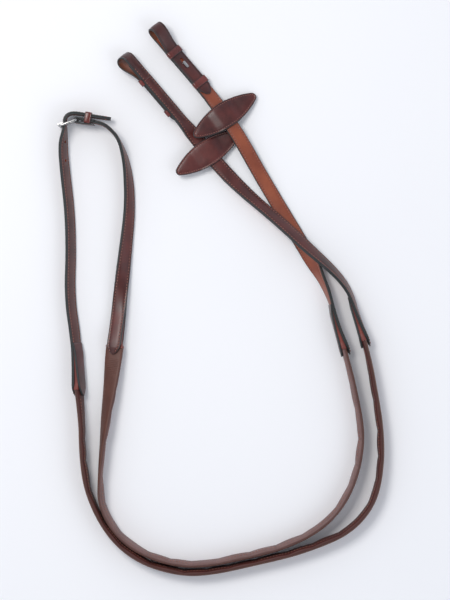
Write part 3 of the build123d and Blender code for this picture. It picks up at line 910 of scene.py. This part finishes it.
def leaf_face(inset, x):
    """Height of a leaf's outer face over its inner one: rounded edge, sunk seam, soft pillow."""
    edge = sqrt(max(0.0, 1 - (1 - min(1.0, inset / 0.0007)) ** 2))
    seam = stop_seam_depth * np.exp(-((inset - stop_seam) / 0.0005) ** 2)
    pillow = 0.00035 * min(1.0, max(0.0, inset - stop_seam) / 0.004)
    wave = wave_of_leaf * sin(x * 210.0 + 1.0) * min(1.0, inset / 0.004)
    return stop_ply * (0.45 + 0.55 * edge) - seam + pillow + wave


def inward(outer, spine, inset):
    """A spot inset from the outline towards the middle line, and how far it really is from it."""
    reach = hypot(outer[0] - spine[0], outer[1] - spine[1])
    share = max(0.0, 1 - inset / reach)
    x = spine[0] + (outer[0] - spine[0]) * share
    y = spine[1] + (outer[1] - spine[1]) * share
    return x, y, reach * (1 - share)


def stop_leaf(name, place, facing, skew):
    """One leaf of a stop, and the row for its stitches. Facing 1 is the grain side."""
    middle, travel, across, grain = place
    turned_x = across * cos(skew) + travel * sin(skew)
    turned_y = travel * cos(skew) - across * sin(skew)
    outline = almond()
    upper_insets = [
        0.0, 0.00012, 0.0003, 0.0006, 0.001, 0.0016, 0.0019, 0.0022, 0.0025, 0.003, 0.004,
        0.0055, 0.0075, 0.010, 0.0125, 1.0,
    ]
    lower_insets = [0.0, 0.002, 0.006, 1.0]
    work = bmesh.new()
    layer = work.verts.layers.float.new("ink")

    def vertex_at(outer, spine, inset, upper):
        x, y, inside = inward(outer, spine, inset)
        out = 0.00005 + strap_bulge(x) + (leaf_face(inside, x) if upper else 0.0)
        vertex = work.verts.new(middle + turned_x * x + turned_y * y + grain * facing * out)
        vertex[layer] = min(1.0, max(0.0, 1.6 - inside / 0.0005))
        return vertex

    upper = [[vertex_at(*pair, inset, True) for pair in outline] for inset in upper_insets]
    lower = [[vertex_at(*pair, inset, False) for pair in outline] for inset in lower_insets]
    for shell in (upper, lower):
        for ring, inner in zip(shell, shell[1:]):
            for index in range(len(outline)):
                after = (index + 1) % len(outline)
                work.faces.new((ring[index], ring[after], inner[after], inner[index]))
    for index in range(len(outline)):
        after = (index + 1) % len(outline)
        work.faces.new((upper[0][index], upper[0][after], lower[0][after], lower[0][index]))
    bmesh.ops.remove_doubles(work, verts=work.verts, dist=2e-6)
    bmesh.ops.dissolve_degenerate(work, edges=work.edges, dist=1e-6)
    bmesh.ops.recalc_face_normals(work, faces=work.faces)
    mesh = bpy.data.meshes.new(name)
    work.to_mesh(mesh)
    work.free()
    mesh.polygons.foreach_set("use_smooth", [True] * len(mesh.polygons))
    mesh.materials.append(stop_leather)
    row = []
    for outer, spine in [*outline, outline[0]]:
        x, y, inside = inward(outer, spine, stop_seam)
        out = strap_bulge(x) + leaf_face(stop_seam, x) + 0.00008
        row.append((middle + turned_x * x + turned_y * y + grain * facing * out, grain * facing))
    return in_scene(name, mesh), row


for rein, skew in ((buckle_rein, 0.0), (point_rein, radians(6.0))):
    seams = []
    body = rein.name + "_stop"
    for leaf, facing in (("grain", 1), ("flesh", -1)):
        piece, row = stop_leaf(
            f"{rein.name}_stop_{leaf}_side", rein.place(rein.stop_at), facing, skew
        )
        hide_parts(f"{rein.name}_stop_{leaf}_leaf")
        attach(piece, body)
        seams.append(row)
    seam = sew(rein.name + "_stop_stitching", seams, 0.0027, 0.0019, 0.0006)
    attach(seam, body)


# The junctions. A grip's end is held between the strap's point and a backing tab, and a skived
# wedge of leather, the collar, fills the corner between strap and tab and flares to a rim.

grip_width = 0.021
tab_thickness = 0.0024
tab_foot_share = 0.35
tab_foot_reach = 0.012
tab_rim = 0.0002
collar_length = 0.046
collar_flare = 0.0012
seam_gap = 0.0001

tab_leather = leather("tab_leather", dye(92, 54, 54), dye(60, 34, 36), 0.42)
collar_leather = leather("collar_leather", dye(138, 62, 50), dye(96, 40, 34), 0.48, coat=0.1)


def tab_face(rein, d):
    """Where a tab's inner face lies, below the rein's line."""
    first = lining_ply + glue / 2 + seam_gap
    last = grip_thickness / 2 + seam_gap
    return -(first + (last - first) * junction_share(rein, d))


def plain_section(half, thickness):
    """Outline of a piece with softly rounded edges and no crease: across, out and ink."""
    side = [
        (half * 0.99, 0.02, 1.0), (half, 0.3, 1.0), (half, 0.7, 1.0), (half - 0.0002, 0.92, 1.0),
        (half - 0.0007, 1.0, 0.9), (half - 0.0011, 1.0, 0.0), (half * 0.5, 1.03, 0.0),
    ]
    top = [(-x, out * thickness, inked) for x, out, inked in side]
    top += [(0.0, 1.04 * thickness, 0.0)]
    top += [(x, out * thickness, inked) for x, out, inked in reversed(side)]
    return top + [(half * 0.96, 0.0, 0.6), (0.0, 0.0, 0.0), (-half * 0.96, 0.0, 0.6)]


def lay_piece(name, rein, sections, flip, material, inked_edges=1.0):
    """Lay a plain piece along a rein. Flip 1 puts its rounded face to the grain side.

    Each section is its distance, half its width, and its lower and upper heights.
    """
    rings, inks = [], []
    for d, half, low, high in sections:
        middle, travel, across, grain = rein.place(d)
        base = low if flip > 0 else high
        ring = []
        for x, out, inked in plain_section(half, high - low):
            ring.append(middle + across * flip * x + grain * (base + flip * out))
            inks.append(inked * inked_edges)
        rings.append(ring)
    return skin(name, rings, {"ink": inks}, material)


rim = grip_width / 2 + collar_flare / 2
for rein in reins:
    for end, grip_end, outward in (("bit", rein.grip_starts, -1), ("hand", rein.grip_ends, 1)):
        tip = grip_end - outward * point_length
        foot = tip + outward * tab_length
        sections = []
        for d in spaced(min(tip, foot), max(tip, foot), fine_at=(tip,)):
            high = tab_face(rein, d)
            left = min(1.0, abs(foot - d) / tab_foot_reach)
            low = high - tab_thickness * (tab_foot_share + (1 - tab_foot_share) * left)
            sections.append((d, rounded_point(abs(d - tip)) + tab_rim, low, high))
        tab = lay_piece(f"{rein.name}_{end}_backing_tab", rein, sections, -1, tab_leather)
        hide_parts(f"{rein.name}_{end}_tab")
        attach(tab, "reins")

        thick_end = grip_end + outward * seam_gap
        thin_end = grip_end + outward * collar_length
        first, last = min(thick_end, thin_end), max(thick_end, thin_end)
        sections = []
        for d in spaced(first, last, fine_at=(grip_end,)):
            share = max(0.0, 1 - abs(d - grip_end) / point_length) ** 1.5
            half = (strap_width / 2 - 0.0002) * (1 - share) + rim * share
            high = strap_lift(rein, d) - lining_ply - glue / 2 - seam_gap
            sections.append((d, half, tab_face(rein, d) + seam_gap, high))
        collar = lay_piece(f"{rein.name}_{end}_wedge", rein, sections, 1, collar_leather, 0.15)
        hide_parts(f"{rein.name}_{end}_collar")
        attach(collar, "reins")


# The grips: a flat core sewn into a tube of soft matt leather, with its seam near one edge. The
# inner side of the curve buckles into shallow waves. It is ribbed behind the strap's point.

rib_pitch = 0.0021
rib_depth = 0.0002
ribs_middle = 0.0225
ribs_reach = 0.0105
wave_pitch = 0.034
wave_depth = 0.0018
seam_height = 0.0060
seam_margin = 0.012


def grip_leather(name, outside, inside, deep):
    """Soft matt leather, one tone outside the curve and one inside, as painted light and shade."""
    bench = Bench(name)
    clouds = bench.noise(0.018)
    mottle = bench.noise(0.0024, 5.0)
    pores = bench.pebbles(0.0009)
    # Painted light and shade: the inner and outer faces take a lit and a shaded tone.
    colour = bench.mix(bench.painted("inner"), outside, inside)
    colour = bench.mix((1.0 - clouds) * 0.6 + (1.0 - mottle) * 0.45 - 0.25, colour, deep)
    # Painted shade: darker in the creases of the waves and along the rounded edges.
    colour = bench.mix(bench.painted("fold") * 0.75, colour, deep)
    height = pores * 0.6 + mottle * 0.8
    bump = bench.shade("ShaderNodeBump", {}, {"Height": height, "Distance": 0.00008}, "Normal")
    return bench.finish(
        {"Base Color": colour, "Roughness": mottle * 0.14 + 0.46, "Normal": bump,
         "Specular IOR Level": 0.45}
    )


def wave(d, rein):
    """How far the inner side of a grip buckles in and out, from -0.35 to 0.65."""
    curved = min(1.0, max(0.0, -beyond_grip(rein, d) - 0.02) / 0.06)
    phase = d / wave_pitch + 0.22 * sin(d * 23.0) + 0.14 * sin(d * 51.0 + 1.0)
    return (abs(sin(pi * phase)) ** 0.8 - 0.35) * curved * (0.75 + 0.25 * sin(d * 37.0))


def grip_section(d, rein):
    """Outline of a grip: across, out, mask of the inner side and mask of the folds and creases.

    The inner side takes its own painted light and shade; folds and creases take painted shade.
    """
    half, thick = grip_width / 2, grip_thickness / 2
    buckled = wave(d, rein)
    sway = 0.0003 * sin(d * 61.0) * min(1.0, max(0.0, -beyond_grip(rein, d) / 0.05))
    from_ribs = abs(rein.grip_ends - ribs_middle - d)
    ribbed = min(1.0, max(0.0, (ribs_reach - from_ribs) / 0.003))
    section = []
    for turn in np.linspace(0.0, 2 * pi, 41)[:-1]:
        angle = pi - turn
        x = half * np.sign(cos(angle)) * abs(cos(angle)) ** 0.62
        y = thick * np.sign(sin(angle)) * abs(sin(angle)) ** 0.55
        y *= 1 - 0.3 * min(1.0, max(0.0, (x - half + 0.0045) / 0.003))
        fullness = min(1.0, abs(y) / thick * 1.6)
        if y < 0:
            y -= wave_depth * buckled * fullness * (0.8 + 0.2 * sin(x * 260.0 + d * 90.0))
        elif abs(x) < half * 0.8:
            y += rib_depth * sin(2 * pi * d / rib_pitch) * ribbed
        # The inner side's share, which takes its face's painted light and shade.
        inner = min(1.0, max(0.0, 0.5 - y / thick * 2.2))
        # Painted shade in the wave troughs on the inner side and along the rounded edges.
        trough_shade = max(0.0, 1 - (buckled + 0.35) / 0.22) * (1.0 if y < 0 else 0.0)
        edge = max(0.0, 1 - fullness * 1.4) * 0.8
        section.append((x, y + sway, inner, min(1.0, max(edge, trough_shade * 0.6))))
    return section


# Painted light and shade: inner and outer tones are lit and shaded versions of one leather.
for rein, outside, inside, deep in (
    (buckle_rein, dye(104, 68, 58), dye(124, 94, 90), dye(58, 34, 30)),
    (point_rein, dye(106, 72, 60), dye(84, 42, 36), dye(50, 27, 25)),
):
    material = grip_leather(rein.name + "_grip_leather", outside, inside, deep)
    ribbed_from = rein.grip_ends - ribs_middle - ribs_reach
    ribbed_to = rein.grip_ends - ribs_middle + ribs_reach
    spots = spaced(rein.grip_starts, ribbed_from, 0.0018)
    spots += spaced(ribbed_from + 0.0003, ribbed_to, 0.00032)
    spots += spaced(ribbed_to + 0.0006, rein.grip_ends, 0.0012)
    rings, inner, fold_shades = [], [], []
    for d in spots:
        middle, travel, across, grain = rein.place(d)
        ring = []
        for x, y, inner_side_painted_light, fold_shade in grip_section(d, rein):
            ring.append(middle + across * x + grain * y)
            inner.append(inner_side_painted_light)
            fold_shades.append(fold_shade)
        rings.append(ring)
    grip = skin(rein.name + "_grip", rings, {"inner": inner, "fold": fold_shades}, material)
    row = []
    for d in np.linspace(rein.grip_starts + seam_margin, rein.grip_ends - seam_margin, 330):
        middle, travel, across, grain = rein.place(d)
        depth = grip_thickness / 2 * 0.97 + wave_depth * wave(d, rein) * 0.8
        row.append((middle - across * seam_height - grain * depth, -grain))
    seam = sew(rein.name + "_grip_seam", [row], 0.0036, 0.0026, 0.0008)
    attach(seam, "reins")
    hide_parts(rein.name + "_grip_cover")
    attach(grip, "reins")
    rein.place(rein.grip_starts)[0]
    rein.trace(rein.grip_starts, rein.grip_ends)

core_leather = leather("core_leather", dye(120, 84, 60), dye(96, 64, 46), 0.6, coat=0.0)
for rein in reins:
    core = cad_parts[rein.name + "_grip_core"]
    core.data.materials.clear()
    core.data.materials.append(core_leather)


# The hand straps: the same two plies as the bit straps. One ends in a chape, folded round the heel
# bar of the buckle and slotted for its tongue. The other ends in a punched point.

bar_radius = 0.0015
chape_room = 0.00025
chape_return = 0.021
chape_heading_at = 0.006
lining_stops = 0.0055
hole_pitch = 0.022
hole_radius = 0.0017
hole_slot = 0.008
hole_shift = 0.0013
hole_depth = 0.008
tongue_slot = 0.006
frame_pitch = 0.0207
frame_swing = radians(29.0)
tongue_thickness = 0.002
hand_tab_hides = 0.052

hand_lining_leather = leather("hand_lining_leather", dye(98, 62, 58), dye(66, 42, 40), 0.46)


def hand_ply(rein, name, end, outward, ply, material, pointed):
    """One ply of a hand strap, from its point on the grip to its end, which may be pointed too."""
    near_tip = rein.grip_ends - point_length + (0.0 if outward > 0 else lining_short)
    spots = spaced(near_tip, end, fine_at=(near_tip, end) if pointed else (near_tip,))
    halves = []
    for d in spots:
        half = rounded_point(d - near_tip) + point_rim
        halves.append(min(half, rounded_point(end - d) + point_rim) if pointed else half)
    return lay_ply(name, rein, spots, halves, ply, 0.5, outward, material)


chape_start = buckle_rein.length - chape_return
buckle_strap = hand_ply(
    buckle_rein, "buckle_rein_hand_strap_leather", chape_start, 1, outer_ply, strap_leather, False
)
buckle_lining = hand_ply(
    buckle_rein, "buckle_rein_hand_lining_leather", buckle_rein.length - lining_stops, -1,
    lining_ply, hand_lining_leather, False,
)
point_strap = hand_ply(
    point_rein, "point_rein_hand_strap_leather", point_rein.length, 1, outer_ply, strap_leather,
    True,
)
point_lining = hand_ply(
    point_rein, "point_rein_hand_lining_leather", point_rein.length, -1, lining_ply,
    hand_lining_leather, True,
)

# The chape runs from the strap round the heel bar and back under the lining, where it is pared.
end = buckle_rein.place(buckle_rein.length)[0]
_, travel, across, grain = buckle_rein.place(buckle_rein.length - chape_heading_at)
turn = bar_radius + chape_room + outer_ply / 2
top_line = middle_ply - outer_ply / 2
fold = [(-x, top_line) for x in np.linspace(chape_return, 0.0, 12)]
fold += [(turn * sin(a), top_line - turn + turn * cos(a)) for a in np.linspace(0.0, pi, 22)[1:]]
turned = len(fold)
fold += [(-x, top_line - 2 * turn) for x in np.linspace(0.0, chape_return, 12)[1:]]
fold = np.array(fold)
stations = []
for index, ((x, out), (run, rise)) in enumerate(zip(fold, np.gradient(fold, axis=0))):
    stretch = hypot(run, rise)
    outside = grain * (run / stretch) - travel * (rise / stretch)
    pared = 0.55 * max(0.0, (-x - 0.008) / 0.013) if index >= turned else 0.0
    inner = end + travel * x + grain * out - outside * outer_ply / 2
    stations.append((inner, across, outside, strap_width / 2, outer_ply * (1.0 - pared)))
chape = ply_skin("buckle_rein_chape", stations, billet_leather)
chape.data.materials.append(raw_leather)
slot_reach = turn + outer_ply
cut_slots(chape, [slot_cutter(
    end - grain * turn, travel, across, grain, 2 * slot_reach, tongue_slot, 4 * slot_reach
)])


def swung(way, angle):
    """A direction along the floor, turned by an angle."""
    return np.array([
        way[0] * cos(angle) - way[1] * sin(angle), way[0] * sin(angle) + way[1] * cos(angle), 0.0,
    ])


# The tongue goes through the long hole of the point rein, and the others are spaced out from it.
bar_end, bar_way, _, bar_grain = buckle_rein.place(buckle_rein.length)
bar = bar_end + bar_grain * (middle_ply - outer_ply - chape_room - bar_radius)
way = swung(bar_way, frame_swing)
way /= np.linalg.norm(way)
tongue_way = swung(way, -np.arctan2(bar_radius + tongue_thickness / 2 + seam_gap, frame_pitch))
candidates = []
for d in np.arange(point_rein.length - 4 * frame_pitch, point_rein.length - frame_pitch, 0.00025):
    away = point_rein.place(d)[0] - bar
    if np.dot(away, tongue_way) > 0:
        candidates.append((np.linalg.norm(np.cross(away, tongue_way)), d))
tongue_hole = min(candidates)[1]
for ply in (point_strap, point_lining):
    ply.data.materials.append(raw_leather)
    cutters = []
    for row in range(-2, 2):
        at = tongue_hole + row * hole_pitch + (hole_shift if row == 0 else 0.0)
        middle, travel, across, grain = point_rein.place(at)
        cutters.append(slot_cutter(
            middle, travel, across, grain,
            hole_slot if row == 0 else 2 * hole_radius + cut_weld, 2 * hole_radius, hole_depth,
        ))
    cut_slots(ply, cutters)

for rein, strap, lining, finish, others in (
    (buckle_rein, buckle_strap, buckle_lining, buckle_rein.length - 0.009, [chape]),
    (point_rein, point_strap, point_lining, point_rein.length - 0.006, []),
):
    tip = rein.grip_ends - point_length
    rows = crease_rows(rein, tip + last_to_tip, finish, 1)
    rows += crease_rows(rein, rein.grip_ends + hand_tab_hides, finish, -1)
    stitches = sew(rein.name + "_hand_stitching", rows)
    for piece, slot in (
        (strap, "strap_leather"), (lining, "lining_leather"), (stitches, "strap_leather"),
        *[(other, "strap_leather") for other in others],
    ):
        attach(piece, "reins")
    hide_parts(rein.name + "_hand_strap")
    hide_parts(rein.name + "_hand_lining")
    far = chape_start if rein is buckle_rein else rein.length
    rein.place(tip)[0]
    far - tip
    rein.trace(tip, far)


# The buckle: a cast ring that swings on its heel bar in the chape, with a plain pin for a tongue.
# The keeper behind it, sewn to the buckle strap, holds the spare end of the point rein.

buckle_keeper_at = 0.0125
buckle_keeper_width = 0.0075
buckle_keeper_corner = 0.0009

softened("buckle_frame", "buckle_ring", 0.0005, "frame")
softened("buckle_tongue", "buckle_pin", 0.0005, "tongue")
place = buckle_rein.place(buckle_rein.length - buckle_keeper_at)
middle, travel, across, grain = place
low = -lining_ply - glue / 2 - seam_gap
heights = []
for d in np.arange(point_rein.length - 2 * frame_pitch, point_rein.length, 0.0005):
    away = point_rein.place(d)[0] - middle
    if abs(np.dot(away, travel)) < buckle_keeper_width / 2:
        heights.append(np.dot(away, grain))
high = max(heights) + middle_ply + keeper_room
inside = strap_width / 2 + keeper_room
ring = []
for number, (side_x, side_y) in enumerate(((1, 1), (-1, 1), (-1, -1), (1, -1))):
    corner_x = side_x * (inside - buckle_keeper_corner)
    corner_y = high - buckle_keeper_corner if side_y > 0 else low + buckle_keeper_corner
    start = 90 * number
    ring += bend(
        corner_x, corner_y, buckle_keeper_corner, start, start + 90, keeper_ply, keeper_ply
    )
    if number in (0, 2):
        mid_out = high + 0.0002 if side_y > 0 else low - 0.0001
        ring += [(0.0, mid_out, 0.0, side_y, keeper_ply)]
buckle_band = band("buckle_keeper_band", place, buckle_keeper_width, [*ring, ring[0]], True)
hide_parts("buckle_keeper")


# The floor and the light: a pale studio sweep, one broad soft lamp high on the left and plenty of
# light from all round, so that shadows stay faint and bluish.

def floor_material():
    bench = Bench("pale_floor")
    haze = bench.noise(0.3, 2.0)
    colour = bench.mix(haze, dye(243, 243, 245), dye(246, 246, 247))
    return bench.finish({"Base Color": colour, "Roughness": haze * 0.05 + 0.85})


floor_mesh = bpy.data.meshes.new("studio_floor")
floor_mesh.from_pydata(
    [(-4.0, -4.0, 0.0), (4.0, -4.0, 0.0), (4.0, 4.0, 0.0), (-4.0, 4.0, 0.0)], [], [(0, 1, 2, 3)]
)
floor_mesh.materials.append(floor_material())
in_scene("studio_floor", floor_mesh)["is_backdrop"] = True


def lamp(name, place, size, power, colour):
    """A square soft box that looks at the middle of the coil."""
    light = bpy.data.lights.new(name, "AREA")
    light.shape = "SQUARE"
    light.size = size
    light.energy = power
    light.color = colour
    box = in_scene(name, light)
    box.location = place
    box.rotation_mode = "QUATERNION"
    box.rotation_quaternion = (-Vector(place)).to_track_quat("-Z", "Y")


lamp("key_soft_box", (-0.85, 0.75, 1.9), 0.8, 24.0, (1.0, 0.985, 0.96))
lamp("fill_soft_box", (1.5, -0.9, 1.6), 1.4, 7.0, (0.90, 0.95, 1.0))


def studio_sky():
    """White walls all round, and a dimmer ceiling, so that dark leather lying flat stays dark."""
    world = bpy.data.worlds.new("studio")
    world.use_nodes = True
    tree = world.node_tree
    direction = tree.nodes.new("ShaderNodeTexCoord")
    split = tree.nodes.new("ShaderNodeSeparateXYZ")
    ramp = tree.nodes.new("ShaderNodeValToRGB")
    ramp.color_ramp.elements[0].position = 0.55
    ramp.color_ramp.elements[0].color = (0.86, 0.90, 1.0, 1.0)
    ramp.color_ramp.elements[1].position = 0.97
    ramp.color_ramp.elements[1].color = (0.30, 0.31, 0.33, 1.0)
    tree.links.new(direction.outputs["Generated"], split.inputs[0])
    tree.links.new(split.outputs["Z"], ramp.inputs[0])
    tree.links.new(ramp.outputs[0], tree.nodes["Background"].inputs[0])
    tree.nodes["Background"].inputs[1].default_value = 0.86
    return world


bpy.context.scene.world = studio_sky()
bpy.context.scene.view_settings.view_transform = "Standard"


low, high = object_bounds()
